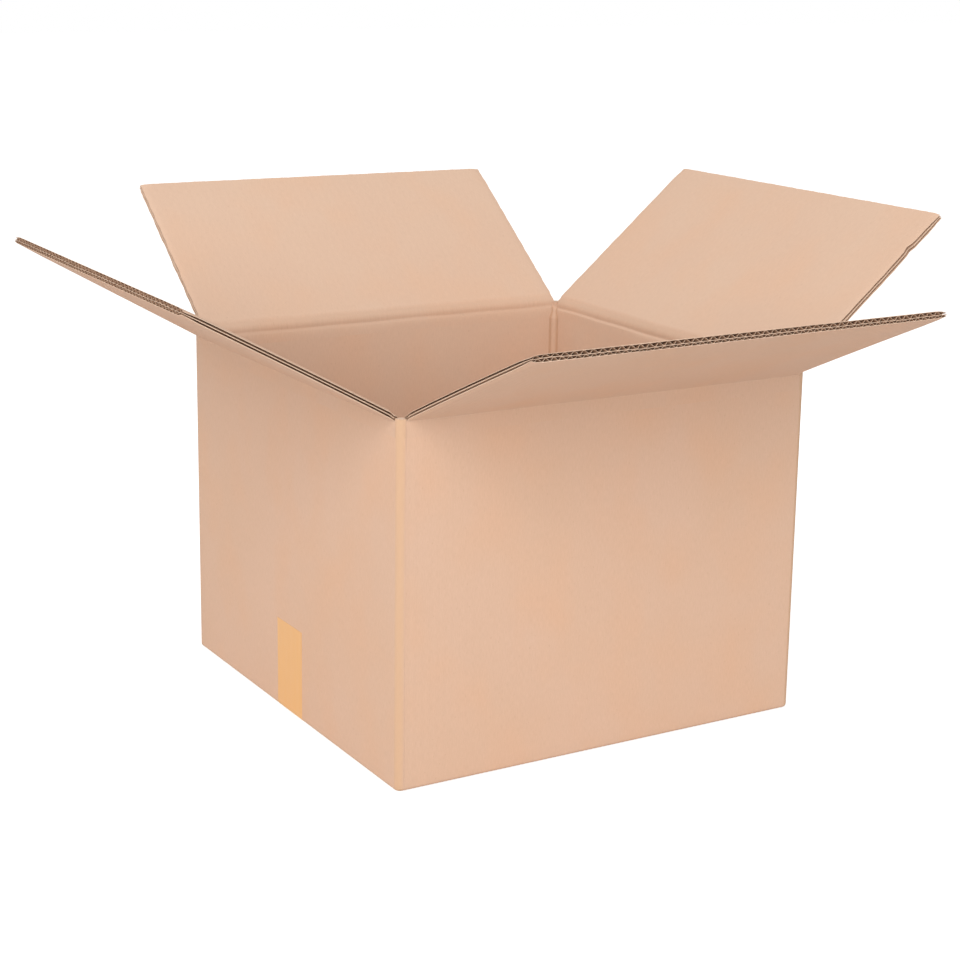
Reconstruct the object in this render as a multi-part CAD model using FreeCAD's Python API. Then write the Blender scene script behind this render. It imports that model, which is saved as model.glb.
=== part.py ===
import FreeCAD, Part
import math
import os

from FreeCAD import Vector

# Open corrugated box with four top flaps, folded from one blank and taped along the bottom.
# Frame: origin at the centre of the underside, +Z up, X along the front panel, the front faces -Y.

# Outside of the four walls
length_x = 400.0             # along the front panel, over the outer faces
width_y = 400.0              # along the side panels, over the outer faces
wall_height = 305.0          # from the floor to the creases of the side flaps

# Double-wall board, from its outer face inwards
liner = 0.3                  # each of the three flat papers
fluting_paper = 0.28         # the waved papers
outer_flute_height = 2.4     # fine flute, next to the outer face
outer_flute_pitch = 6.7
inner_flute_height = 3.4     # coarse flute, next to the inner face
inner_flute_pitch = 8.05
board = 3 * liner + outer_flute_height + inner_flute_height

# Folds and slots
wall_fold_radius = 6.0       # outer radius of the four upright edges
bottom_fold_radius = 3.0     # outer radius of the four bottom edges
corner_bevel = 7.0           # leg of the crushed bevel inside each upright edge
fold_clearance = 0.2         # half of the gap between a flap's root and its wall
slot_clearance = 0.3         # between a folded flap and the walls beside it
layer_gap = 0.3              # between two flaps that lie on each other
seam_gap = 1.0               # between two flaps that meet over the middle
slot_inset = board + slot_clearance
notch_length = 6.0           # how far a flap's slot edges are open into the flutes
flute_depth = 25.0           # how far a flap's free edge is open into the flutes

# Top flaps: angle each one leans outwards from upright, in degrees
front_lean = 65.0
left_lean = 60.0
right_lean = 50.0
back_lean = 53.0
outer_relief = 70.0          # slope of the crushed board outside the front and back creases
side_axis_out = 0.1          # the side flaps turn just outside their outer face

# Glued lap inside the left wall, at the back edge, and the slit that it leaves outside
lap_width = 35.0
lap_thickness = 3.4
lap_edge_clearance = 12.0    # from the lap's ends to the folded flaps above and below
slit_width = 0.6
slit_depth = 2.5

# Tape along the bottom seam and up the two side walls
tape_width = 49.0
tape_thickness = 0.2
tape_rise = 82.0

cut_margin = 1.0             # how far a cutting tool stands out past what it cuts
half_x = length_x / 2
half_y = width_y / 2

# The front and back flaps turn about the middle of the board, so that they close over the side flaps
side_axis_z = wall_height
main_axis_z = side_axis_z - side_axis_out + layer_gap + board / 2
main_reach = half_y - board / 2
side_reach = half_x + side_axis_out
inner_floor = 2 * board + layer_gap


def box(low, high):
    """Box between two opposite corners."""
    size = [b - a for a, b in zip(low, high)]
    return Part.makeBox(size[0], size[1], size[2], Vector(*low))


def prism(points, direction):
    """Prism on a flat polygon, extruded along a vector."""
    corners = [Vector(*p) for p in points]
    return Part.Face(Part.makePolygon(corners + corners[:1])).extrude(Vector(*direction))


def crest_triangles(width, low, high, pitch):
    """Triangles between the waves of one flute, across a board's edge, as (x, depth) points.

    Each wave leaves one triangle against either liner, with the fluting paper between them.
    The points run the same way round in both.
    """
    waves = int((width - 2 * notch_length) / pitch)
    start = -waves * pitch / 2
    half_base = (pitch - 2 * fluting_paper) / 2
    triangles = []
    for wave in range(waves):
        x = start + wave * pitch + pitch / 2
        triangles.append([(x + half_base, high), (x - half_base, high), (x, low + fluting_paper)])
        if wave < waves - 1:
            x += pitch / 2
            triangles.append([(x - half_base, low), (x + half_base, low), (x, high - fluting_paper)])
    return triangles


def flute_layers():
    """Depths of the two fluted layers below the outer face, with their pitches."""
    outer = (liner, liner + outer_flute_height, outer_flute_pitch)
    inner = (outer[1] + liner, board - liner, inner_flute_pitch)
    return [outer, inner]


def board_outline(width):
    """Section of the board across its edge, with both fluted layers open at the two sides."""
    half = width / 2
    right = [(half, 0)]
    for low, high, _ in flute_layers():
        right += [(half, low), (half - notch_length, low), (half - notch_length, high), (half, high)]
    right.append((half, board))
    left = [(-x, depth) for x, depth in reversed(right)]
    return right + left


def closed_wire(points, out, height):
    """Closed wire through (x, depth) points at one height, its depth counted from the outer face."""
    corners = [Vector(x, out + depth, height) for x, depth in points]
    return Part.makePolygon(corners + corners[:1])


def flap(width, length, axis_depth, relief):
    """Upright flap along X, its fold axis on the X axis and its outer face towards -Y.

    The root is cut back 45 degrees inside and by the relief angle outside, and stands
    the fold clearance above the axis. The waves are open to the free edge for the flute
    depth; behind that the board is one block. The shell is sewn from the faces of both.
    """
    out = -axis_depth
    inner = board - axis_depth
    root = [(-width / 2, inner, inner + fold_clearance)]
    if axis_depth > 0:
        drop = axis_depth * math.tan(math.radians(relief))
        root += [(-width / 2, 0, fold_clearance), (-width / 2, out, drop + fold_clearance)]
    else:
        root.append((-width / 2, out, out + fold_clearance))
    block_end = length - flute_depth
    block = prism(root + [(-width / 2, out, block_end), (-width / 2, inner, block_end)], (width, 0, 0))
    notches = []
    for low, high, _ in flute_layers():
        for side in (-1, 1):
            xs = sorted([side * (width / 2 - notch_length), side * (width / 2 + cut_margin)])
            notches.append(box((xs[0], out + low, -cut_margin), (xs[1], out + high, length)))
    block = block.cut(notches)

    holes = [closed_wire(points, out, block_end)
             for layer in flute_layers() for points in crest_triangles(width, *layer)]
    section = Part.makeFace([closed_wire(board_outline(width), out, block_end)] + holes,
                            "Part::FaceMakerBullseye")
    edge = section.extrude(Vector(0, 0, flute_depth))
    faces = [f for f in block.Faces if f.BoundBox.ZMin < block_end - liner]
    faces += [f for f in edge.Faces if f.BoundBox.ZMax > block_end + liner]
    faces += [Part.Face(wire) for wire in holes]
    solid = Part.Solid(Part.Shell(faces))
    return solid.removeSplitter()


def hung(upright, lean, turn, reach, axis_z):
    """Copy of an upright flap, leaned outwards, set on its axis and turned about Z to its wall."""
    solid = upright.copy()
    solid.rotate(Vector(0, 0, 0), Vector(1, 0, 0), lean)
    solid.translate(Vector(0, -reach, axis_z))
    solid.rotate(Vector(0, 0, 0), Vector(0, 0, 1), turn)
    return solid


def wall_ring():
    """The four walls with round outer edges and bevelled inner corners, cut level above the slots."""
    top = main_axis_z - fold_clearance
    ring = box((-half_x, -half_y, 0), (half_x, half_y, top))
    upright = [e for e in ring.Edges if e.BoundBox.ZLength > top / 2]
    ring = ring.makeFillet(wall_fold_radius, upright)
    bottom = [e for e in ring.Edges if e.BoundBox.ZMax < top / 2]
    ring = ring.makeFillet(bottom_fold_radius, bottom)
    ring = ring.cut(box((board - half_x, board - half_y, -cut_margin),
                        (half_x - board, half_y - board, top + cut_margin)))
    bevel_top = side_axis_z - side_axis_out - board - layer_gap
    bevels = []
    for side_x in (-1, 1):
        for side_y in (-1, 1):
            x = side_x * (half_x - board)
            y = side_y * (half_y - board)
            bevels.append(prism([(x, y, inner_floor), (x - side_x * corner_bevel, y, inner_floor),
                                 (x, y - side_y * corner_bevel, inner_floor)],
                                (0, 0, bevel_top - inner_floor)))
    return ring.fuse(bevels)


def side_wall_tops():
    """What is cut off above the side walls, at 45 degrees under the folded flaps."""
    outside = half_x + cut_margin
    inside = half_x - board - cut_margin
    crease = side_axis_z - side_axis_out - fold_clearance
    top = main_axis_z + cut_margin
    outline = [(outside, crease), (half_x, crease), (inside, crease - half_x + inside),
               (inside, top), (outside, top)]
    span = half_y - slot_inset
    right = prism([(x, -span, z) for x, z in outline], (0, 2 * span, 0))
    return [right, right.mirror(Vector(0, 0, 0), Vector(1, 0, 0))]


def main_wall_tops():
    """What is cut off on both sides of the ridge along the front and back walls."""
    ridge = main_axis_z - fold_clearance
    top = main_axis_z + cut_margin
    reach = board / 2 + cut_margin
    drop = reach * math.tan(math.radians(outer_relief))
    inner = [(main_reach, ridge), (main_reach - reach, ridge - reach), (main_reach - reach, top),
             (main_reach, top)]
    outer = [(main_reach, ridge), (main_reach, top), (main_reach + reach, top),
             (main_reach + reach, ridge - drop)]
    span = half_x - slot_inset
    cuts = []
    for outline in (inner, outer):
        back = prism([(-span, y, z) for y, z in outline], (2 * span, 0, 0))
        cuts += [back, back.mirror(Vector(0, 0, 0), Vector(0, 1, 0))]
    return cuts


def slots():
    """What is cut off above the slots between the top flaps, level with the side creases."""
    low = side_axis_z - side_axis_out - fold_clearance
    cuts = []
    for side_x in (-1, 1):
        for side_y in (-1, 1):
            xs = sorted([side_x * (half_x - slot_inset), side_x * (half_x + cut_margin)])
            ys = sorted([side_y * (half_y - slot_inset), side_y * (half_y + cut_margin)])
            cuts.append(box((xs[0], ys[0], low), (xs[1], ys[1], main_axis_z + cut_margin)))
    return cuts


def bottom_flaps():
    """Four bottom flaps: front and back ones outside, side ones inside, each fused to its wall."""
    flaps = []
    for side in (-1, 1):
        ys = sorted([side * (half_y - board), side * seam_gap / 2])
        flaps.append(box((slot_inset - half_x, ys[0], 0), (half_x - slot_inset, ys[1], board)))
        xs = sorted([side * (half_x - board), side * seam_gap / 2])
        low = board + layer_gap
        flaps.append(box((xs[0], slot_inset - half_y, low), (xs[1], half_y - slot_inset, low + board)))
    return flaps


def glue_lap():
    """Lap of the back wall, glued inside the left wall."""
    low = inner_floor + lap_edge_clearance
    high = wall_height - board - lap_edge_clearance
    x = board - half_x
    y = half_y - board
    return box((x, y - lap_width, low), (x + lap_thickness, y, high))


def lap_slit():
    """Slit outside, between the cut edge of the left wall and the fold of the back wall."""
    x = board - half_x
    return box((x, half_y - slit_depth, -cut_margin),
               (x + slit_width, half_y + cut_margin, main_axis_z + cut_margin))


def wrap_edges(offset):
    """Line of the outer face up the left wall, under the bottom and up the right wall, offset inwards."""
    x = half_x - offset
    radius = bottom_fold_radius - offset
    side = x - radius
    low = offset + radius
    tip = radius * math.cos(math.radians(45))
    right = Part.Arc(Vector(side, 0, offset), Vector(side + tip, 0, low - tip), Vector(x, 0, low))
    left = Part.Arc(Vector(-x, 0, low), Vector(-side - tip, 0, low - tip), Vector(-side, 0, offset))
    lines = [Part.LineSegment(Vector(-x, 0, tape_rise), Vector(-x, 0, low)), left,
             Part.LineSegment(Vector(-side, 0, offset), Vector(side, 0, offset)), right,
             Part.LineSegment(Vector(x, 0, low), Vector(x, 0, tape_rise))]
    return [line.toShape() for line in lines]


def tape_strip(outside):
    """Strip as wide as the tape, from its sticky side to a distance outside the board's outer face."""
    ends = [Part.LineSegment(Vector(side * (half_x - tape_thickness), 0, tape_rise),
                             Vector(side * (half_x + outside), 0, tape_rise)).toShape()
            for side in (-1, 1)]
    edges = wrap_edges(tape_thickness) + wrap_edges(-outside) + ends
    strip = Part.Face(Part.Wire(Part.__sortEdges__(edges))).extrude(Vector(0, tape_width, 0))
    strip.translate(Vector(0, -tape_width / 2, 0))
    return strip


def box_body():
    """Walls, bottom flaps and glued lap as the one folded sheet, pressed in under the tape."""
    sheet = wall_ring().fuse(bottom_flaps() + [glue_lap()]).removeSplitter()
    return sheet.cut(side_wall_tops() + main_wall_tops() + slots() + [lap_slit(), tape_strip(cut_margin)])


def export(name, shape):
    """Write one node, after a look at its solids."""
    solids = shape.Solids
    assert len(solids) == 1 and shape.isValid(), (name, len(solids), shape.isValid())
    solids[0].exportStep("parts/" + name + ".step")
    extent = shape.BoundBox
    print(name, "faces", len(shape.Faces), "volume %.0f mm3" % shape.Volume,
          "x %.1f..%.1f y %.1f..%.1f z %.1f..%.1f" % (extent.XMin, extent.XMax, extent.YMin,
                                                      extent.YMax, extent.ZMin, extent.ZMax))


os.makedirs("parts", exist_ok=True)
export("bottom_tape", tape_strip(0))
export("box_body", box_body())
main_flap = flap(length_x - 2 * slot_inset, main_reach - seam_gap / 2, board / 2, outer_relief)
side_flap = flap(width_y - 2 * slot_inset, side_reach - seam_gap / 2, -side_axis_out, 0)
export("front_flap", hung(main_flap, front_lean, 0, main_reach, main_axis_z))
export("right_flap", hung(side_flap, right_lean, 90, side_reach, side_axis_z))
export("back_flap", hung(main_flap, back_lean, 180, main_reach, main_axis_z))
export("left_flap", hung(side_flap, left_lean, 270, side_reach, side_axis_z))
print("front and back fold axes at z = %.3f mm, y = +-%.3f mm" % (main_axis_z, main_reach))
print("side fold axes at z = %.3f mm, x = +-%.3f mm" % (side_axis_z, side_reach))
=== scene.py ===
# %% [markdown]
# # An open corrugated box
#
# A shipping box is one die-cut sheet of double-wall board: three flat papers, the liners, with two
# waved papers glued between them. Four walls stand on a folded and taped bottom, and four flaps lean
# outwards from creases along the top. The frame made in CAD already holds the walls, the flaps and
# their hinges. This script dresses it: round folds, crushed creases, real waves in the cut edges,
# torn paper, tape and a kraft finish.

# %% Load the frame
import math

import bpy
import numpy as np
from mathutils import Matrix, Vector


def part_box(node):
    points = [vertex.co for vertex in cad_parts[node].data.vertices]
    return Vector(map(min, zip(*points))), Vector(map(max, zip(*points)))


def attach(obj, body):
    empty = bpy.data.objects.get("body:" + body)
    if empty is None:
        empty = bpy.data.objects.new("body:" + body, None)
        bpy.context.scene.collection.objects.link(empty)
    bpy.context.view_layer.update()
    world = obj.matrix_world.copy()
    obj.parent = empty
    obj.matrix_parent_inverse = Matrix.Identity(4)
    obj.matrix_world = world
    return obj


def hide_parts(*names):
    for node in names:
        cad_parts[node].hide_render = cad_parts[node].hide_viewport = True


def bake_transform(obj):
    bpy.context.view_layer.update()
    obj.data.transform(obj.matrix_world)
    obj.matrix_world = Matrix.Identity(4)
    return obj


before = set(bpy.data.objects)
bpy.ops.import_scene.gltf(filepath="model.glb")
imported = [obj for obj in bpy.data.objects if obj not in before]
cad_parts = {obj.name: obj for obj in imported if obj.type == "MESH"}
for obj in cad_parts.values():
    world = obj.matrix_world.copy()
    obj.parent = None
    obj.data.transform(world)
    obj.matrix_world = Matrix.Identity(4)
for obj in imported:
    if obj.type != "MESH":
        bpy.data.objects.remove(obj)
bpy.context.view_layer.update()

# %% [markdown]
# ## Sizes
#
# Everything is worked out in millimetres, as on the box maker's drawing, and turned into metres only
# when a mesh is made. The board is 6.7 mm thick: a fine wave under the outer liner and a coarse one
# under the inner liner. The outside of the walls comes from the frame, so the two models agree.

# %% Sizes of the box and its board
METRE = 0.001
_, body_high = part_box("box_body")
half_x, half_y = round(body_high.x / METRE), round(body_high.y / METRE)

board = 6.7
liner = 0.36                     # a liner with its frayed burr looks thicker than it is
wave_paper = 0.24
fine_wave = (0.32, 2.80, 6.7)    # depth of its lowest and highest point, and its pitch
coarse_wave = (3.00, 6.38, 8.05)
middle_liner = (2.72, 3.08)

slot = 7.0                       # between a flap's side and the corner of the box
fold_radius = 6.0                # outside of the four upright folds
inner_radius = 0.3               # inside of them
bottom_radius = 3.0
buried = 0.05                    # a face glued to a wall starts this deep in it
strip_foot = 12.0                # how far below the side creases the flaps' sheets begin
side_axis_z = 305.0
main_axis_z = 308.55
post_top = 308.2                 # torn board stands a little above the slots' cut floor
inner_floor = 13.7
print("outside", 2 * half_x, "x", 2 * half_y, "mm, board", board, "mm")

# %% [markdown]
# ## From arrays to meshes
#
# Every sheet of paper or board here is a slab: one grid of points for its outer face, another for its
# inner face, and a rim that joins them. If each shape is a function that gives those two grids, one
# helper can make them all, with no loop over points. A shell is closed by construction, so light
# can't leak in and the mesh has no holes. Each point also keeps its place on the flat sheet,
# in metres, so that the paper's pattern follows every fold.

# %% Slabs
def grid_quads(rows, columns, wrap):
    """Corner numbers of the quads of a grid, its points counted row by row."""
    index = np.arange(rows * columns).reshape(rows, columns)
    if wrap:
        index = np.hstack([index, index[:, :1]])
    quads = np.stack([index[:-1, :-1], index[:-1, 1:], index[1:, 1:], index[1:, :-1]], -1)
    return quads.reshape(-1, 4)


def rim_quads(line, shift, wrap):
    """Quads between a line of the outer grid and the same line of the inner grid, shift numbers on."""
    a = line if wrap else line[:-1]
    b = np.roll(line, -1) if wrap else line[1:]
    return np.stack([b, a, a + shift, b + shift], -1)


def slab(outer, inner, sheet, wear_and_painted_light=None, papers=(0, 1, 2), wrap=False):
    """Closed shell between two grids of points, in mm.

    sheet holds each point's place on the flat sheet; the next argument holds how rubbed it is and the
    highlight and shade painted on it. papers are the material slots of the outer face, the inner face
    and the cut rim. The faces of the outer grid point to the side from which its rows run up and its
    columns run to the right.
    """
    rows, columns = outer.shape[:2]
    count = rows * columns
    index = np.arange(count).reshape(rows, columns)
    face = grid_quads(rows, columns, wrap)
    rims = [rim_quads(index[0], count, wrap), rim_quads(index[-1][::-1], count, wrap)]
    if not wrap:
        rims += [rim_quads(index[::-1, 0], count, False), rim_quads(index[:, -1], count, False)]
    rim = np.vstack(rims)
    quads = np.vstack([face, face[:, ::-1] + count, rim])
    slots = np.repeat(papers, [len(face), len(face), len(rim)])
    wear_and_painted_light = np.zeros((rows, columns)) if wear_and_painted_light is None else wear_and_painted_light
    return {"points": np.vstack([outer.reshape(-1, 3), inner.reshape(-1, 3)]),
            "quads": quads, "slots": slots,
            "sheet": np.vstack([sheet.reshape(-1, 2)] * 2),
            "side": np.repeat([0.0, 1.0], count),
            "wear_and_painted_light": np.hstack([wear_and_painted_light.reshape(-1)] * 2)}


def make_piece(name, shells, materials, smooth_angle=35):
    """One mesh object from slabs, with its pattern's coordinates, its wear and its painted light and
    shade stored on its points.
    """
    starts = np.cumsum([0] + [len(s["points"]) for s in shells])
    points = np.vstack([s["points"] for s in shells]) * METRE
    quads = np.vstack([s["quads"] + start for s, start in zip(shells, starts)])
    slots = np.hstack([s["slots"] for s in shells])
    mesh = bpy.data.meshes.new(name)
    mesh.from_pydata(points.tolist(), [], quads.tolist())
    mesh.polygons.foreach_set("material_index", slots.astype(np.int32))
    mesh.polygons.foreach_set("use_smooth", np.ones(len(quads), bool))
    sheet = np.vstack([s["sheet"] for s in shells]) * METRE
    side = np.hstack([s["side"] for s in shells])
    place = mesh.attributes.new("sheet", "FLOAT_VECTOR", "POINT")
    place.data.foreach_set("vector", np.column_stack([sheet, side]).astype(np.float32).reshape(-1))
    rubbed_and_painted_light = mesh.attributes.new("wear_and_painted_light", "FLOAT", "POINT")
    rubbed_and_painted_light.data.foreach_set("value", np.hstack([s["wear_and_painted_light"] for s in shells]).astype(np.float32))
    mesh.set_sharp_from_angle(angle=math.radians(smooth_angle))
    mesh.update()
    piece = bpy.data.objects.new(name, mesh)
    bpy.context.scene.collection.objects.link(piece)
    for material in materials:
        mesh.materials.append(material)
    low, high = points.min(0) / METRE, points.max(0) / METRE
    print(f"{name}: {2 * len(quads)} triangles, from {low.round(1)} to {high.round(1)} mm")
    return piece


# %% [markdown]
# ## Uneven paper
#
# Cut paper is never quite straight. A ragged line is a sum of a few sine waves with fixed random
# phases, which is smooth, has no repeats in sight and gives the same result on each run.

# %% Ragged lines
dice = np.random.RandomState(46)


def ragged(x, amount, lengths):
    """Uneven offset along a line: one sine wave for each length in mm, each with its own phase."""
    phases = dice.uniform(0, 2 * math.pi, len(lengths))
    waves = [np.sin(2 * math.pi * x / length + phase) for length, phase in zip(lengths, phases)]
    return amount * sum(waves) / math.sqrt(len(lengths))


def smooth_step(x, low, high):
    """Rises from 0 at low to 1 at high with level ends: 3 t squared less 2 t cubed."""
    t = np.clip((x - low) / (high - low), 0, 1)
    return t * t * (3 - 2 * t)


def bump_at(x, centre, width):
    """Bell that is 1 at its centre and falls off over its width."""
    return np.exp(-((x - centre) / width) ** 2)


# %% [markdown]
# ## Kraft paper
#
# Kraft liner is a matt tan paper. From a step away it is nearly even, with broad pale and warm clouds;
# close up it has fine fibres along the mill's direction, a few darker flecks, and faint ribs where it
# is glued to the waves. Folds are rubbed: a little browner outside the box, paler inside. The same
# paler tone paints a highlight along the ridge of each inner crease, and a darker tone paints shade
# into the crease bands, the corner scores and the inner foot of the bottom, and darkens a band on the
# glued lap. All of it is worked out from the place on the flat sheet, so that nothing slides when a
# flap moves. Waves and raw cuts are a rougher paper, the waves browner and the cuts of the liners
# paler.

# %% Material helpers
def add_node(tree, kind, inputs=None, **settings):
    """New node with its settings and its unlinked input values."""
    node = tree.nodes.new(kind)
    for name, value in settings.items():
        setattr(node, name, value)
    for name, value in (inputs or {}).items():
        node.inputs[name].default_value = value
    return node


def scaled(tree, place, scale):
    """Place on the sheet times a scale for each direction."""
    node = add_node(tree, "ShaderNodeVectorMath", operation="MULTIPLY")
    tree.links.new(place, node.inputs[0])
    node.inputs[1].default_value = scale
    return node.outputs[0]


def noise(tree, place, scale, detail=2.0, roughness=0.5):
    """Smooth noise between about 0.25 and 0.75 on scaled coordinates."""
    node = add_node(tree, "ShaderNodeTexNoise",
                    {"Scale": 1.0, "Detail": detail, "Roughness": roughness})
    tree.links.new(scaled(tree, place, scale), node.inputs["Vector"])
    return node.outputs["Fac"]


def mapped(tree, value, low, high, to_low, to_high):
    """Value carried from one range to another, and clamped there."""
    node = add_node(tree, "ShaderNodeMapRange", {"From Min": low, "From Max": high,
                                                 "To Min": to_low, "To Max": to_high})
    tree.links.new(value, node.inputs["Value"])
    return node.outputs["Result"]


def tinted(tree, colour, factor, tint, kind="MIX"):
    """Colour mixed towards a tint, or multiplied by it, by a factor."""
    node = add_node(tree, "ShaderNodeMix", data_type="RGBA", blend_type=kind)
    tree.links.new(factor, node.inputs["Factor"])
    if isinstance(colour, tuple):
        node.inputs["A"].default_value = colour
    else:
        tree.links.new(colour, node.inputs["A"])
    node.inputs["B"].default_value = tint
    return node.outputs["Result"]


def start_material(name, roughness, specular):
    """Material with a Principled shader, and the place on the sheet as a colourless vector."""
    material = bpy.data.materials.new(name)
    material.use_nodes = True
    tree = material.node_tree
    shader = tree.nodes["Principled BSDF"]
    shader.inputs["Roughness"].default_value = roughness
    shader.inputs["Specular IOR Level"].default_value = specular
    place = add_node(tree, "ShaderNodeAttribute", attribute_name="sheet").outputs["Vector"]
    return material, tree, shader, place


def add_bump(tree, shader, heights):
    """Chain of bumps, each a height from 0 to 1 with its depth in metres."""
    normal = None
    for height, depth in heights:
        node = add_node(tree, "ShaderNodeBump", {"Strength": 1.0, "Distance": depth})
        tree.links.new(height, node.inputs["Height"])
        if normal is not None:
            tree.links.new(normal, node.inputs["Normal"])
        normal = node.outputs["Normal"]
    tree.links.new(normal, shader.inputs["Normal"])


# %% Kraft liner
def kraft(name, base, pale, warm, rubbed_and_painted_light, rib_pitch):
    """Liner paper: clouds between a pale and a warm tone, fibres, flecks, ribs over the waves, and
    rubbed wear with painted highlights and painted shade.
    """
    material, tree, shader, place = start_material(name, 0.82, 0.28)
    fibre_shade, fleck_shade = (0.62, 0.55, 0.47, 1), (0.50, 0.36, 0.26, 1)
    # painted shade: the tone that is multiplied in where a point's value is below zero
    painted_shade_tone = (0.70, 0.60, 0.52, 1)
    broad = mapped(tree, noise(tree, place, (9, 7, 5), 3.0), 0.35, 0.65, 0, 0.8)
    colour = tinted(tree, base, broad, pale)
    clouds = mapped(tree, noise(tree, place, (16, 11, 9), 2.0), 0.45, 0.7, 0, 0.75)
    colour = tinted(tree, colour, clouds, warm)
    fibre = noise(tree, place, (1100, 170, 3), 3.0, 0.65)
    colour = tinted(tree, colour, mapped(tree, fibre, 0.3, 0.7, 0.0, 0.16), fibre_shade, "MULTIPLY")
    fleck = noise(tree, place, (430, 260, 7), 1.0)
    colour = tinted(tree, colour, mapped(tree, fleck, 0.70, 0.80, 0.0, 0.14), fleck_shade, "MULTIPLY")
    # Above zero a point's value mixes towards the rubbed tone: wear on the folds, and on the inner
    # liner a painted highlight along the crease ridge.
    # Below zero it multiplies in painted shade: crease bands, corner scores and the inner foot of the
    # bottom; it also darkens a band on the glued lap.
    wear_and_painted_light = add_node(tree, "ShaderNodeAttribute", attribute_name="wear_and_painted_light").outputs["Fac"]
    colour = tinted(tree, colour, mapped(tree, wear_and_painted_light, 0, 1, 0, 1), rubbed_and_painted_light)
    colour = tinted(tree, colour, mapped(tree, wear_and_painted_light, 0, -1, 0, 1), painted_shade_tone, "MULTIPLY")
    tree.links.new(colour, shader.inputs["Base Color"])

    split = add_node(tree, "ShaderNodeSeparateXYZ")
    tree.links.new(place, split.inputs[0])
    turns = add_node(tree, "ShaderNodeMath", operation="MULTIPLY")
    tree.links.new(split.outputs["X"], turns.inputs[0])
    turns.inputs[1].default_value = 2 * math.pi / (rib_pitch * METRE)
    rib = add_node(tree, "ShaderNodeMath", operation="SINE")
    tree.links.new(turns.outputs[0], rib.inputs[0])
    rib_height = mapped(tree, rib.outputs[0], -1, 1, 0, 1)
    rib_depth, ripple_depth, fibre_depth = 0.000035, 0.00025, 0.00003    # in metres
    ripple = noise(tree, place, (60, 40, 9), 2.0)
    add_bump(tree, shader, [(rib_height, rib_depth), (ripple, ripple_depth), (fibre, fibre_depth)])
    return material


outer_kraft = kraft("outer_kraft", (0.668, 0.444, 0.314, 1), (0.678, 0.458, 0.335, 1),
                    (0.690, 0.436, 0.294, 1), (0.590, 0.372, 0.230, 1), fine_wave[2])
# inner liner: its paler rubbed tone also paints the highlight along each crease ridge
inner_kraft = kraft("inner_kraft", (0.705, 0.488, 0.358, 1), (0.712, 0.502, 0.370, 1),
                    (0.726, 0.482, 0.339, 1), (0.750, 0.525, 0.380, 1), coarse_wave[2])
print("kraft liners made")


# %% Raw edges and waved paper
def raw_kraft(name, base, dark):
    """Waved paper or the cut of a liner: rougher than its face, in streaks along the waves."""
    material, tree, shader, place = start_material(name, 0.9, 0.2)
    streak = noise(tree, place, (900, 90, 3), 3.0, 0.6)
    colour = tinted(tree, base, mapped(tree, streak, 0.35, 0.65, 0, 0.8), dark)
    tree.links.new(colour, shader.inputs["Base Color"])
    add_bump(tree, shader, [(streak, 0.00008)])
    return material


waved_kraft = raw_kraft("waved_kraft", (0.44, 0.275, 0.18, 1), (0.35, 0.21, 0.135, 1))
edge_kraft = raw_kraft("edge_kraft", (0.76, 0.56, 0.42, 1), (0.66, 0.46, 0.33, 1))
print("raw papers made")

# %% [markdown]
# ## Walls
#
# The four walls are one ring of board. Seen from above, its outer line goes round four folds with a
# radius of 6 mm, and its inner line round a tight corner. That ring, carried from the floor to just
# under the creases, is the wall. At the fourth corner the blank is joined: there the side panel ends
# in a cut edge that shows its waves, and the back panel folds in behind it.

# %% Corner lines
def turned(points, quarter):
    """Points turned about Z by a number of right angles, exactly."""
    x, y = points[..., 0], points[..., 1]
    for _ in range(quarter % 4):
        x, y = -y, x
    return np.stack([x, y], -1)


def arc(centre, radius, start, end, steps):
    """Points of an arc in plan, angles in degrees."""
    angle = np.radians(np.linspace(start, end, steps))
    return np.array(centre) + radius * np.column_stack([np.cos(angle), np.sin(angle)])


corner_steps = 11


def inner_corner(steps):
    """Tight arc inside the front right fold, with one more point a hair before and after it."""
    centre = (half_x - board - inner_radius, -half_y + board + inner_radius)
    line = arc(centre, inner_radius, -90, 0, steps)
    return np.vstack([line[0] - (buried, 0), line, line[-1] + (0, buried)])


def round_corner():
    """Fold at the front right: the outer line, and the inner line point for point, in plan."""
    outer = arc((half_x - fold_radius, -half_y + fold_radius), fold_radius, -90, 0, corner_steps)
    outer = np.vstack([(half_x - board, -half_y), outer, (half_x, -half_y + board)])
    return outer, inner_corner(corner_steps)


def joint_corner():
    """The joined corner, drawn at the front right like the others.

    The front panel folds in round a small arc; then come the slit and the cut edge of the side
    panel, whose two waved layers are open grooves between its liners.
    """
    x, y = half_x, -half_y
    joint_radius, slit_depth = 5.4, 6.2
    skin, open_depth = 0.45, 2.6      # an outer liner at the cut, and how far in its waves lie
    cut, shoulder = 0.6, 0.9          # how far in the cut and its crushed corners stand
    fold = arc((x - board - joint_radius, y + joint_radius), joint_radius, -90, -5, 7)
    edge = [(x - board + buried, y + slit_depth), (x - board, y + shoulder)]
    for near, far in ((board - skin, middle_liner[1]), (middle_liner[0], skin)):
        edge += [(x - near, y + cut), (x - near, y + open_depth), (x - far, y + open_depth),
                 (x - far, y + cut)]
    edge += [(x - 0.12, y + cut + 0.02), (x, y + shoulder), (x, y + board)]
    outer = np.vstack([fold, edge])
    return outer, inner_corner(len(outer) - 2)


joint_quarter = 2    # the joined corner is two right angles on from the front right: back left
corners = [joint_corner() if quarter == joint_quarter else round_corner() for quarter in range(4)]
corners = [(turned(outer, quarter), turned(inner, quarter))
           for quarter, (outer, inner) in enumerate(corners)]
print("points round the corners", [len(outer) for outer, _ in corners])


# %% Ring of walls
fold_wear = 0.9      # how rubbed an upright fold is


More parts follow.
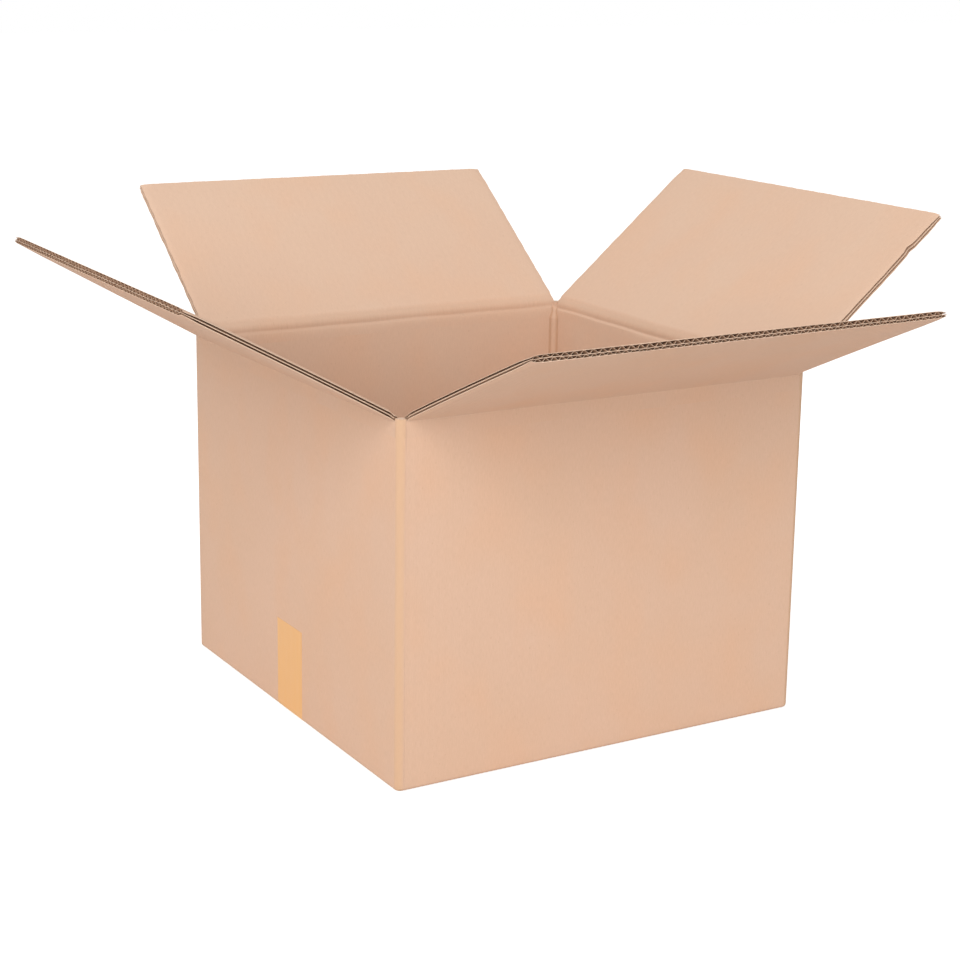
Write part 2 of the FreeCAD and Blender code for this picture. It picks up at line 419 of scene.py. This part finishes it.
def ring_lines(panel_steps=24):
    """Outer and inner line round the box, counterclockwise from the front left, with their distances.

    Also gives how near each point is to a fold, which is where the paper is rubbed, and each point's
    share along its panel.
    """
    outer, inner, rub, share = [], [], [], []
    for quarter, (corner_outer, corner_inner) in enumerate(corners):
        before = corners[quarter - 1]
        t = np.linspace(0, 1, panel_steps)[:, None]
        outer += [before[0][-1] * (1 - t) + corner_outer[0] * t, corner_outer[1:-1]]
        inner += [before[1][-1] * (1 - t) + corner_inner[0] * t, corner_inner[1:-1]]
        steps = len(corner_outer) - 2
        fold = np.sin(np.linspace(0, math.pi, steps)) ** 0.5 * (quarter != joint_quarter)
        rub += [np.zeros(panel_steps), fold]
        share += [t[:, 0], np.zeros(steps)]
    outer, inner = np.vstack(outer), np.vstack(inner)
    rub, share = np.hstack(rub), np.hstack(share)
    step = np.linalg.norm(np.diff(outer, axis=0, prepend=outer[-1:]), axis=1)
    return outer, inner, np.cumsum(step), rub, share


def wall_ring(top):
    """Walls from the floor to a height: the ring's lines carried up, drawn in round the bottom edge.

    At the bottom the outer line moves in by the radius less its sine part, as round a quarter circle.
    A broad swell of a third of a millimetre keeps the panels from being perfectly flat.
    """
    outer, inner, along, rub, share = ring_lines()
    edge_rows, wall_rows = 6, 12
    turn = np.radians(np.linspace(0, 90, edge_rows))
    low = bottom_radius * (1 - np.cos(turn))
    inset = np.hstack([bottom_radius * (1 - np.sin(turn)), np.zeros(wall_rows)])
    heights = np.hstack([low, np.linspace(low[-1] + 6, top, wall_rows)])
    inwards = inner - outer
    inwards /= np.linalg.norm(inwards, axis=1)[:, None]
    grid = outer[None] + inwards[None] * inset[:, None, None]
    up = np.broadcast_to(heights[:, None], grid.shape[:2])
    middle = np.sin(math.pi * np.clip(heights / top, 0, 1))[:, None] ** 2
    swell = np.sin(math.pi * share) ** 2 * middle
    wander = swell * (0.35 * np.sin(2.6 * math.pi * share + 0.7) * np.cos(heights / 70.0)[:, None])
    grid = grid - inwards[None] * wander[..., None]
    inner_grid = np.broadcast_to(inner[None], grid.shape) - inwards[None] * wander[..., None] * 0.6
    sheet = np.stack([np.broadcast_to(along, up.shape), up], -1)
    bottom_rub = np.sin(np.linspace(0, math.pi, edge_rows)) * 0.35
    wear_and_painted_light = rub[None] * fold_wear + np.hstack([bottom_rub, np.zeros(wall_rows)])[:, None]
    return slab(np.dstack([grid, up]), np.dstack([inner_grid, up]), sheet, wear_and_painted_light, wrap=True)


ring_top = side_axis_z - strip_foot
print("wall ring up to", ring_top, "mm")

# %% [markdown]
# ## Corner posts, creased corners and the glued lap
#
# Above the ring only the corners of the wall are left between the slots, as four short posts. Inside
# each upright fold the board is crushed into a slanted strip with a soft score along either side; the
# strip is darker all over, with painted shade in the scores. The strip is narrower at the top, where
# its sides sink into the crushed ends of the creases. The blank's lap, pressed thinner for the glue,
# lies inside the left wall along the joined corner.

# %% Posts, gussets and lap
def corner_post(quarter, bottom, top):
    """Top of one corner: its two lines carried up, cut off level with the slots."""
    outer, inner = corners[quarter]
    rows = 4
    heights = np.linspace(bottom, top, rows)
    along = np.cumsum(np.linalg.norm(np.diff(outer, axis=0, prepend=outer[:1]), axis=1))
    up = np.broadcast_to(heights[:, None], (rows, len(outer)))
    grids = [np.dstack([np.broadcast_to(line[None], up.shape + (2,)), up]) for line in (outer, inner)]
    sheet = np.stack(np.broadcast_arrays(along[None], heights[:, None]), -1)
    rub = np.sin(np.linspace(0, math.pi, len(outer))) ** 0.5 * (quarter != joint_quarter)
    return slab(grids[0], grids[1], sheet, np.broadcast_to(rub * fold_wear, up.shape))


def gusset(quarter):
    """Crushed strip inside one upright fold, in plan a line across the corner with soft scores, darker
    all over, with painted shade in the scores.

    Its leg along either wall is 7 mm, and 4 mm under the folded flaps, where its sides are sunk into
    the crushed creases.
    """
    heights = np.hstack([np.linspace(inner_floor - 1, 288, 12), np.linspace(290, post_top - 0.2, 10)])
    wide, narrow, sunk_depth = 7.0, 4.0, 3.2
    leg = narrow + (wide - narrow) * (1 - smooth_step(heights, 291, 300))
    across = np.linspace(0, 1, 15)
    scores = bump_at(across, 0.16, 0.09) + bump_at(across, 0.84, 0.09)
    groove = 0.45 * scores - 0.25 * np.sin(math.pi * across)
    corner = np.array([half_x - board, -half_y + board])
    sunk = sunk_depth * smooth_step(heights, 299.5, 303)
    a = (corner + np.stack([-leg, -sunk], -1))[:, None]
    b = (corner + np.stack([sunk, leg], -1))[:, None]
    share = across[None, :, None]
    outwards = np.array([1, -1])
    front = a * (1 - share) + b * share
    front = front + (leg / wide)[:, None, None] * groove[None, :, None] * outwards / math.sqrt(2)
    back = np.where(share < 0.5, a * (1 - 2 * share) + corner * 2 * share,
                    corner * (2 - 2 * share) + b * (2 * share - 1))
    back = back + buried * outwards
    up = np.broadcast_to(heights[:, None], front.shape[:2])
    sheet = np.stack([np.broadcast_to(across * 10 + 20 * quarter, up.shape), up], -1)
    # darker all over, and painted shade in the two scores
    wear_and_painted_light = -0.35 - 0.6 * (bump_at(across, 0.13, 0.14) + bump_at(across, 0.87, 0.14))
    wear_and_painted_light = np.broadcast_to(wear_and_painted_light, up.shape)
    front, back = turned(front, quarter), turned(back, quarter)
    return slab(np.dstack([front, up])[:, ::-1], np.dstack([back, up])[:, ::-1], sheet[:, ::-1],
                wear_and_painted_light[:, ::-1], papers=(1, 1, 1))


def glued_lap():
    """Lap inside the left wall, pressed to half the board, its free edge crushed thinner."""
    width, gap = 35.0, 12.0      # its free width, and what is cut away above and below
    low, high = inner_floor + gap, side_axis_z - board - gap
    from_edge = np.hstack([np.linspace(0, 6, 7), np.linspace(9, width, 6)])
    heights = np.linspace(low, high, 14)
    thickness = 1.1 + 2.3 * smooth_step(from_edge, 0, 5)
    edge = ragged(heights, 0.35, (41, 17, 7.3))
    y = half_y - board - width + from_edge[None] + edge[:, None] * (1 - smooth_step(from_edge, 0, 9))
    x = -half_x + board + thickness
    up = np.broadcast_to(heights[:, None], y.shape)
    face = np.dstack([np.broadcast_to(x, y.shape), y, up])
    back = np.dstack([np.full(y.shape, -half_x + board - buried), y, up])
    sheet = np.stack([y, up], -1)
    # darker in a band about 6 mm from the free edge
    return slab(face, back, sheet, -0.5 * bump_at(from_edge, 6, 2.5)[None] * np.ones(y.shape),
                papers=(1, 1, 2))


# %% [markdown]
# ## The bottom
#
# Two long flaps close the outside of the bottom and meet in a seam along X; the two side flaps lie on
# them inside and meet along Y. Inside, the side flaps curl up softly where they leave their wall, and
# their faces dip by a few tenths of a millimetre where the board has been bent. Shade is painted darker
# along their foot, in the corner next to the wall.

# %% Bottom flaps
seam = 0.5


def bottom_flap(side, outside):
    """One bottom flap as a slab on a grid from its wall to the seam.

    The inner face rises by a small fillet next to the wall that the flap belongs to, and painted shade
    darkens it there.
    """
    reach = (half_y if outside else half_x) - board
    half_width = (half_x if outside else half_y) - slot
    out = np.hstack([np.linspace(seam, reach - 8, 12), np.linspace(reach - 6, reach, 6)])
    across = np.linspace(-half_width, half_width, 18)
    low = 0.0 if outside else board + 0.3
    dip = 0.4 * np.cos(math.pi * out / reach) * (out < reach - 7) * (not outside)
    dip = dip[None] * np.cos(math.pi * across / (2.2 * half_width))[:, None]
    rise = 2.2 * smooth_step(out, reach - 4.5, reach) ** 2 * (not outside)
    height = low + board + rise[None] + np.minimum(dip, 0)
    out_grid, across_grid = np.broadcast_arrays(out[None], across[:, None])
    top = np.stack([across_grid, out_grid, height], -1)
    under = np.stack([across_grid, out_grid, np.full(height.shape, low)], -1)
    sheet = np.stack([across_grid, out_grid], -1)
    # painted shade in the inside corner where a side flap meets its wall
    wear_and_painted_light = -0.5 * bump_at(out, reach - 3, 2.0)[None] * np.ones(height.shape) * (not outside)
    quarter = (2 if side > 0 else 0) if outside else (1 if side > 0 else 3)

    def placed(grid):
        plan = np.stack([grid[..., 0], -grid[..., 1]], -1)
        return np.dstack([turned(plan, quarter), grid[..., 2]])

    return slab(placed(top), placed(under), sheet, wear_and_painted_light, papers=(1, 0, 2))


body_shells = [wall_ring(ring_top), glued_lap()]
body_shells += [corner_post(quarter, ring_top, post_top) for quarter in range(4)]
body_shells += [gusset(quarter) for quarter in range(4)]
body_shells += [bottom_flap(side, outside) for side in (-1, 1) for outside in (True, False)]
walls = make_piece("box_sheet", body_shells, [outer_kraft, inner_kraft, edge_kraft])
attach(walls, "body")
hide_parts("box_body")

# %% [markdown]
# ## Flaps and their creases
#
# A flap is drawn flat first: t runs along the crease, s runs up the sheet from 12 mm below the crease
# to the free edge, and depth goes from the outer face to the inner one. One function then bends that
# drawing: straight up the wall, round a tight arc on the outside, and straight along the leaning
# flap. The creasing wheel has crushed the board along that line: the depth shrinks by about a fifth
# there, steeply on the wall's side and slowly on the flap's, which shapes the ridge and the band of the
# inner crease. A pale painted highlight on the ridge and painted shade in the band are added to them.

# %% Bend of the sheet
crease_radius = 1.5


def crease_height(lean, axis_z, axis_depth):
    """Height at which the outer planes of the wall and of the leaning flap meet."""
    return axis_z - axis_depth * math.tan(math.radians(lean) / 2)


def from_score(t, s, flap):
    """s with a wander of half a millimetre along t, as a worn creasing wheel leaves its score."""
    return s + 0.5 * np.sin(t / 19.0) * np.sin(t / 47.0 + flap["quarter"])


def crush(t, s, flap):
    """Share of the board's thickness near the crease, down to the share that the score has left."""
    s = from_score(t, s, flap)
    wall_side = 1 - smooth_step(s, *flap["ledge"])
    flap_side = smooth_step(s, 2.0, 7.0)
    return flap["crush"] + (1 - flap["crush"]) * np.maximum(wall_side, flap_side)


def pressed(t, s, depth, flap):
    """Depth of a layer after all that has pressed the board.

    The slotting knife crushes both sides, handling crushes the corners and the free edge a little,
    and dents push the middle liner towards one face there, which flattens one of the two waves.
    """
    half, length = flap["half_width"], flap["length"]
    at_side = bump_at(np.abs(t), half, 3.4) * smooth_step(s, -4, 3)
    at_end = smooth_step(s, length - 30, length)
    at_corner = bump_at(np.abs(t), half, 7) * bump_at(s, length, 8)
    left = (1 - flap["pinch"] * at_side - 0.22 * at_corner) * (1 - 0.10 * at_end)
    dents = sum(amount * bump_at(t, place, width) for place, width, amount in flap["dents"])
    push = (dents + 0.10 * np.sin(t / 23.0)) * at_end + 0.60 * at_side
    depth = depth + push * np.sin(math.pi * depth / board)
    middle = 0.45 * board
    return (middle + (depth - middle) * left) * crush(t, s, flap)


def bent(t, s, depth, flap):
    """Flat place (t, s, depth) carried round the crease of one flap, in mm.

    Below the arc the outer line is the wall, above it the leaning plane; depth is measured along the
    normal, which turns with the arc.
    """
    lean = math.radians(flap["lean"])
    reach = crease_radius * math.tan(lean / 2)
    turn = lean * np.clip((s + reach) / (2 * reach), 0, 1)
    on_wall = np.minimum(s, -reach)
    on_flap = np.maximum(s - reach, 0)
    out = flap["out"] + crease_radius * (1 - np.cos(turn)) + np.sin(lean) * on_flap
    up = flap["crease"] + on_wall + crease_radius * np.sin(turn) + np.cos(lean) * on_flap
    share = np.clip(s / flap["length"], 0, 1)
    twist = (flap["twist"][0] + flap["twist"][1] * t / flap["half_width"]) * share ** 1.4
    inside = pressed(t, s, depth, flap) + twist
    out = out - np.cos(turn) * inside
    up = up + np.sin(turn) * inside
    plan = turned(np.stack([t, -out], -1), flap["quarter"])
    return np.dstack([plan, up])


def make_flap(name, lean, quarter, main, left, twist, pinch, fray, dents, nick=0.0):
    """Facts of one flap: its crease, its length from there, its lean and its wall.

    left is the share of the board that the score has left, twist how far the free edge stands in from
    the plane at its middle and, more, at its right end, pinch how much the knife has crushed the
    sides, fray how ragged they are, dents where the free edge is dented, and nick how deep the nick
    in the left side is.
    """
    axis_depth = board / 2 if main else -0.1
    half = half_y if quarter % 2 == 0 else half_x
    length = half - axis_depth - seam - axis_depth * math.tan(math.radians(lean) / 2)
    crease = crease_height(lean, main_axis_z if main else side_axis_z, axis_depth)
    return {"name": name, "lean": lean, "quarter": quarter, "out": half, "length": length,
            "crease": crease, "foot": ring_top - crease, "crush": left, "twist": twist, "dents": dents,
            "pinch": pinch, "fray": fray, "nick": nick,
            "ledge": (-7.0, -1.5) if main else (-5.2, -2.6),    # from full to crushed, on the wall
            "half_width": (half_x if quarter % 2 == 0 else half_y) - slot}


flaps = [make_flap("front_flap", 65.0, 0, True, 0.80, (-3.7, 0.7), 0.34, 0.16,
                   [(-176, 15, 0.95), (-97, 13, -0.75), (60, 9, 0.4), (148, 8, -0.5)]),
         make_flap("right_flap", 50.0, 1, False, 0.83, (-0.8, 0.9), 0.14, 0.3,
                   [(-120, 10, 0.6), (30, 16, -0.5)], nick=2.2),
         make_flap("back_flap", 53.0, 2, True, 0.86, (0.3, 0.7), 0.18, 0.34,
                   [(-60, 12, 0.6), (140, 10, -0.6)]),
         make_flap("left_flap", 60.0, 3, False, 0.83, (-2.2, -1.8), 0.34, 0.16,
                   [(150, 12, 0.5), (-40, 14, -0.5)])]
for flap in flaps:
    print(flap["name"], "crease at", round(flap["crease"], 2), "mm, length",
          round(flap["length"], 1), "mm")

# %% [markdown]
# ## Liners and waves of a flap
#
# Each flap is five thin slabs: three liners and two waved papers, with the waves square to the crease,
# so that their open ends show along the free edge. The waves end 4 mm short of the flap's sides, so
# that the gaps between the liners show as two dark lines there. Next to the crease the layers are
# crushed together, so a solid core fills them there. Every layer is cut a little differently, which
# gives the frayed double line of a real slotted edge.

# %% Layers
nick_place, nick_width = 154, 3.4


def layer_grid(flap, s_rows, columns):
    """Places (t, s) of one layer, drawn in at its sides and free edge by its own ragged cut.

    Below the crease the sides stand out a little instead, so that they join the posts.
    """
    half, length, fray = flap["half_width"], flap["length"], flap["fray"]
    edge = np.array([0, 0.7, 1.4, 2.2, 3.2, 4.6, 6.5, 9])
    line = np.hstack([-half + edge, np.linspace(-half + 11, half - 11, columns), half - edge[::-1]])
    torn = smooth_step(s_rows, 0, 4)
    joined = 0.4 * (1 - smooth_step(s_rows, -3, 0))
    left = (ragged(s_rows, fray, (61, 23, 9.1, 6.3)) + fray) * torn - joined
    left = left + flap["nick"] * bump_at(s_rows, nick_place, nick_width)
    right = (ragged(s_rows, fray, (53, 19, 8.3, 6.7)) + fray) * torn - joined
    t = line[None] + left[:, None] * bump_at(line, -half, 4) - right[:, None] * bump_at(line, half, 4)
    end = ragged(t[-1], 0.18, (71, 29, 11, 5.3, 2.9)) + 0.18
    s = s_rows[:, None] - end[None] * smooth_step(s_rows, length - 14, length)[:, None]
    return t, s


def crease_rows(flap, end):
    """Rows from a flap's foot on the wall to a little way up the flap, close together in the crease."""
    reach = crease_radius * math.tan(math.radians(flap["lean"]) / 2)
    return np.hstack([np.linspace(flap["foot"], -5.2, 3), np.linspace(-4.8, -reach, 7),
                      np.linspace(-reach, reach, 6)[1:-1], np.linspace(reach, end, 9)])


def flat_place(t, s, flap):
    """Place on the flat sheet for the paper's pattern, another part of it for each flap."""
    return np.stack([t + 450 * flap["quarter"], s + 310], -1)


def liner_slab(flap, depth_low, depth_high, papers, s_start=None, columns=150):
    """Flat paper between two depths, from a flap's foot or a start past its crease to the free edge.

    A burr thickens it into the board along the two sides that the slotting knife has cut.
    """
    length = flap["length"]
    near = crease_rows(flap, 10.5)
    steps = 30 if flap["fray"] > 0.2 else 14      # more rows where the sides are more ragged
    far = np.hstack([np.linspace(13, length - 15, steps), np.linspace(length - 12, length, 6)])
    s_rows = np.hstack([near if s_start is None else near[near >= s_start], far])
    t, s = layer_grid(flap, s_rows, columns)
    burr = 0.24 * bump_at(np.abs(t), flap["half_width"], 1.8) * smooth_step(s, 0, 3)
    outer = bent(t, s, depth_low - burr * (depth_low > 0), flap)
    inner = bent(t, s, depth_high + burr * (depth_high < board), flap)
    # on the inner liner only: painted highlight and painted shade along the crease
    wear_and_painted_light = crease_painted_light(t, s, flap) * (depth_high > board / 2)
    return slab(outer, inner, flat_place(t, s, flap), wear_and_painted_light, papers=papers)


def crease_painted_light(t, s, flap):
    """Painted highlight in a thin pale line on the wall's side of the crease, painted shade in the
    crushed band above.

    Near the corners painted shade is darker where the scores of the upright folds run out.
    """
    s = from_score(t, s, flap)
    uneven = 0.85 + 0.25 * np.sin(t / 71.0 + 1.3)
    painted_shade_band = smooth_step(s, -2.8, -1.6) * (1 - smooth_step(s, 1.0, 7.0))
    corner = bump_at(np.abs(t), flap["half_width"] - 2.6, 1.3) * (1 - smooth_step(s, -6, -1))
    crease = 0.15 * bump_at(s, -3.6, 0.7) - 0.55 * uneven * painted_shade_band
    return 3.2 * (1 - flap["crush"]) * crease - 0.75 * corner


def waved_slab(flap, wave, s_start, samples=8):
    """Waved paper: its depth is a sine of t between two depths, half a paper either side of it.

    It ends short of the flap's sides, but spreads towards them near the free edge, where the waves
    show in the corners.
    """
    low, high, pitch = wave
    half, length = flap["half_width"], flap["length"]
    left_gap, right_gap, spread = 4.2, 3.8, 2.8
    count = int((2 * half - left_gap - right_gap) / pitch * samples)
    t_line = np.linspace(-half + left_gap, half - right_gap, count)
    s_rows = np.hstack([np.linspace(s_start, 11, 4), [80], np.linspace(length - 32, length - 0.35, 5)])
    phase = dice.uniform(0, 2 * math.pi)
    t, s = np.broadcast_arrays(t_line[None], s_rows[:, None])
    t = t * (1 + spread / half * smooth_step(s_rows, length - 20, length - 4)[:, None])
    t = t + (ragged(s_rows, 0.5, (47, 18, 7.7)))[:, None] * bump_at(np.abs(t_line), half, 6.0)
    end = ragged(t_line, 0.22, (31, 9.7, 4.1)) + 0.2
    s = s - end[None] * smooth_step(s_rows, length - 14, length)[:, None]
    angle = 2 * math.pi * t / pitch + phase
    middle, swing = (low + high) / 2, (high - low - wave_paper) / 2
    depth = middle + swing * np.sin(angle)
    slope = swing * 2 * math.pi / pitch * np.cos(angle)
    lean = np.sqrt(1 + slope ** 2)
    along, away = -slope / lean * wave_paper / 2, wave_paper / 2 / lean
    outer = bent(t - along, s, depth - away, flap)
    inner = bent(t + along, s, depth + away, flap)
    return slab(outer, inner, flat_place(t, s, flap), papers=(2, 2, 3))


def core_slab(flap, s_end=3.6, inset=3.5):
    """Crushed layers next to the crease, as one block just under the liners."""
    s_rows = crease_rows(flap, s_end)
    t_line = np.linspace(-flap["half_width"] + inset, flap["half_width"] - inset, 30)
    t, s = np.broadcast_arrays(t_line[None], s_rows[:, None])
    outer = bent(t, s, np.full(t.shape, liner / 2), flap)
    inner = bent(t, s, np.full(t.shape, board - liner / 2), flap)
    return slab(outer, inner, np.stack([t, s], -1), papers=(2, 2, 2))


def dress_flap(flap):
    """All layers of one flap as one piece, bending between the walls and the flap's body."""
    shells = [liner_slab(flap, 0.0, liner, (0, 3, 3)),
              liner_slab(flap, middle_liner[0], middle_liner[1], (3, 3, 3), 2.0),
              liner_slab(flap, board - liner, board, (3, 1, 3)),
              waved_slab(flap, fine_wave, 3.0), waved_slab(flap, coarse_wave, 3.0), core_slab(flap)]
    piece = make_piece(flap["name"] + "_sheet", shells,
                       [outer_kraft, inner_kraft, waved_kraft, edge_kraft])
    reach = 6.0      # how far on either side of the crease two points are found; nothing uses them
    ends = bent(np.zeros((2, 1)), np.array([[-reach], [reach]]), np.zeros((2, 1)), flap)
    ends = ends[:, 0] * METRE
    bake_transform(piece)
    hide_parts(flap["name"])
    return piece


flap_pieces = [dress_flap(flap) for flap in flaps]

# %% [markdown]
# ## Tape
#
# A strip of tan packing film closes the bottom seam and runs up the left and right walls. It is a
# ribbon on the line of the outer face: up the wall, round the bottom edge and along the underside. It
# stands a tenth of a millimetre proud, has the gloss of film over paper, and ends in the small teeth
# of a dispenser's blade.

# %% Tape ribbon
def tape_line(outwards):
    """Line up the left wall's foot, under the bottom and up the right one, moved outwards, in mm."""
    _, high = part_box("bottom_tape")
    top = high.z / METRE
    turn = np.radians(np.linspace(0, 90, 7))
    radius = bottom_radius + outwards
    centre = half_x - bottom_radius
    corner = np.column_stack([centre + radius * np.sin(turn), bottom_radius - radius * np.cos(turn)])
    steps = 9
    wall = np.column_stack([np.full(steps, half_x + outwards),
                            np.linspace(bottom_radius + 4, top, steps)])
    bottom = np.column_stack([np.linspace(0, centre - 6, steps), np.full(steps, -outwards)])
    right = np.vstack([bottom, corner, wall])
    left = right[:0:-1] * (-1, 1)
    return np.vstack([left, right])


def tape_ribbon(width=49.0, proud=0.10, sunk=0.12):
    """Ribbon across the tape line, its two ends cut in teeth: a triangle wave across the width."""
    line, under = tape_line(proud), tape_line(-sunk)
    tooth_depth, tooth_width = 0.5, 3.2
    across = np.linspace(-width / 2, width / 2, 73)
    run = np.cumsum(np.linalg.norm(np.diff(line, axis=0, prepend=line[:1]), axis=1))
    teeth = tooth_depth * np.abs((across / tooth_width) % 1 - 0.5) * 2
    fade = np.zeros(len(line))
    fade[[0, -1]] = 1
    grids = []
    for path in (line, under):
        x, y = np.broadcast_arrays(path[:, 0][:, None], across[None])
        z = path[:, 1][:, None] - fade[:, None] * teeth[None]
        grids.append(np.stack([x, y, z], -1))
    sheet = np.stack(np.broadcast_arrays(run[:, None], across[None]), -1)
    return slab(grids[0][:, ::-1], grids[1][:, ::-1], sheet[:, ::-1], papers=(0, 0, 0))


def film(name, base, pale):
    """Packing film: tan, faintly streaked along its length, with a soft gloss."""
    material, tree, shader, place = start_material(name, 0.38, 0.45)
    streak = noise(tree, place, (14, 160, 2), 2.0)
    colour = tinted(tree, base, mapped(tree, streak, 0.35, 0.65, 0, 0.6), pale)
    tree.links.new(colour, shader.inputs["Base Color"])
    ripple = noise(tree, place, (26, 70, 2), 2.0)
    add_bump(tree, shader, [(ripple, 0.0001)])
    shader.inputs["Coat Weight"].default_value = 0.15
    shader.inputs["Coat Roughness"].default_value = 0.3
    return material


tape_film = film("tape_film", (0.770, 0.418, 0.152, 1), (0.765, 0.430, 0.180, 1))
tape = make_piece("tape_strip", [tape_ribbon()], [tape_film])
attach(tape, "body")
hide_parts("bottom_tape")

# %% [markdown]
# ## Floor and light
#
# The box stands in even white light, as in a shop's packshot. A white dome gives most of it, a large
# softbox at the front left shapes the walls, and a weak lamp above the open top brightens what faces
# up. The floor is pale and its own light, seen by the camera alone, lifts it to white away from the
# box, while the shadow stays.

# %% Floor
def stage_floor():
    """Wide pale floor a hair under the box, white to the camera where no shadow falls."""
    size = 12.0
    drop = -0.0004
    camera_light = 0.55
    mesh = bpy.data.meshes.new("floor")
    corner_points = [(-size, -size, drop), (size, -size, drop), (size, size, drop), (-size, size, drop)]
    mesh.from_pydata(corner_points, [], [(0, 1, 2, 3)])
    floor = bpy.data.objects.new("floor", mesh)
    bpy.context.scene.collection.objects.link(floor)
    material = bpy.data.materials.new("floor_paper")
    material.use_nodes = True
    tree = material.node_tree
    shader = tree.nodes["Principled BSDF"]
    shader.inputs["Base Color"].default_value = (0.86, 0.86, 0.86, 1)
    shader.inputs["Roughness"].default_value = 0.9
    shader.inputs["Specular IOR Level"].default_value = 0.0
    shader.inputs["Emission Color"].default_value = (1, 1, 1, 1)
    rays = add_node(tree, "ShaderNodeLightPath")
    tree.links.new(mapped(tree, rays.outputs["Is Camera Ray"], 0, 1, 0, camera_light),
                   shader.inputs["Emission Strength"])
    mesh.materials.append(material)


def white_dome(strength):
    """World light of one strength, and plain white where the camera sees past the floor."""
    world = bpy.data.worlds.new("dome")
    bpy.context.scene.world = world
    world.use_nodes = True
    tree = world.node_tree
    background = tree.nodes["Background"]
    background.inputs["Color"].default_value = (1, 1, 1, 1)
    rays = add_node(tree, "ShaderNodeLightPath")
    tree.links.new(mapped(tree, rays.outputs["Is Camera Ray"], 0, 1, strength, 1.0),
                   background.inputs["Strength"])


def soft_lamp(name, place, target, size, power):
    """White square area lamp at a place, turned to a target, in metres and watts."""
    light = bpy.data.lights.new(name, "AREA")
    light.shape = "SQUARE"
    light.size = size
    light.energy = power
    lamp = bpy.data.objects.new(name, light)
    lamp.location = place
    lamp.rotation_euler = (Vector(target) - Vector(place)).to_track_quat("-Z", "Y").to_euler()
    bpy.context.scene.collection.objects.link(lamp)


stage_floor()
white_dome(0.62)
soft_lamp("front_softbox", (-3.5, -3.9, 2.9), (0, 0, 0.22), 4.5, 262)
soft_lamp("overhead", (-0.2, -0.3, 2.6), (0, 0, 0.3), 1.8, 3)
bpy.context.scene.view_settings.view_transform = "Standard"
print("stage lit")

# %% [markdown]
# ## Camera
#
# The camera stands at the photograph's angle. Its place, tilt and long lens were fitted to the box's
# corners in the 960 pixel frame, and a small shift puts the box as high in the frame as it is there.

# %% Camera
def fitted_camera():
    """Camera from its heading, pitch, roll, lens and distance to a target, in mm and degrees."""
    heading, pitch, roll = (math.radians(angle) for angle in (30.68, 13.38, 0.85))
    frame_pixels, focal_pixels, shift_pixels, distance = 960, 2046.0, -56, 2249.4
    target = Vector((188.6, 332.7, 150.0))
    forward = Vector((math.sin(heading) * math.cos(pitch), math.cos(heading) * math.cos(pitch),
                      -math.sin(pitch)))
    right = Vector((math.cos(heading), -math.sin(heading), 0))
    up = right.cross(forward)
    side = right * math.cos(roll) + up * math.sin(roll)
    top = up * math.cos(roll) - right * math.sin(roll)
    camera = bpy.data.cameras.new("camera")
    camera.sensor_width = 36.0
    camera.lens = focal_pixels / frame_pixels * camera.sensor_width
    camera.shift_y = shift_pixels / frame_pixels
    eye = bpy.data.objects.new("camera", camera)
    turn = Matrix((side, top, -forward)).transposed()
    eye.matrix_world = Matrix.Translation((target - forward * distance) * METRE) @ turn.to_4x4()
    bpy.context.scene.collection.objects.link(eye)
    bpy.context.scene.camera = eye
    print("camera at", [round(value, 3) for value in eye.matrix_world.translation],
          "lens", round(camera.lens, 1))


fitted_camera()
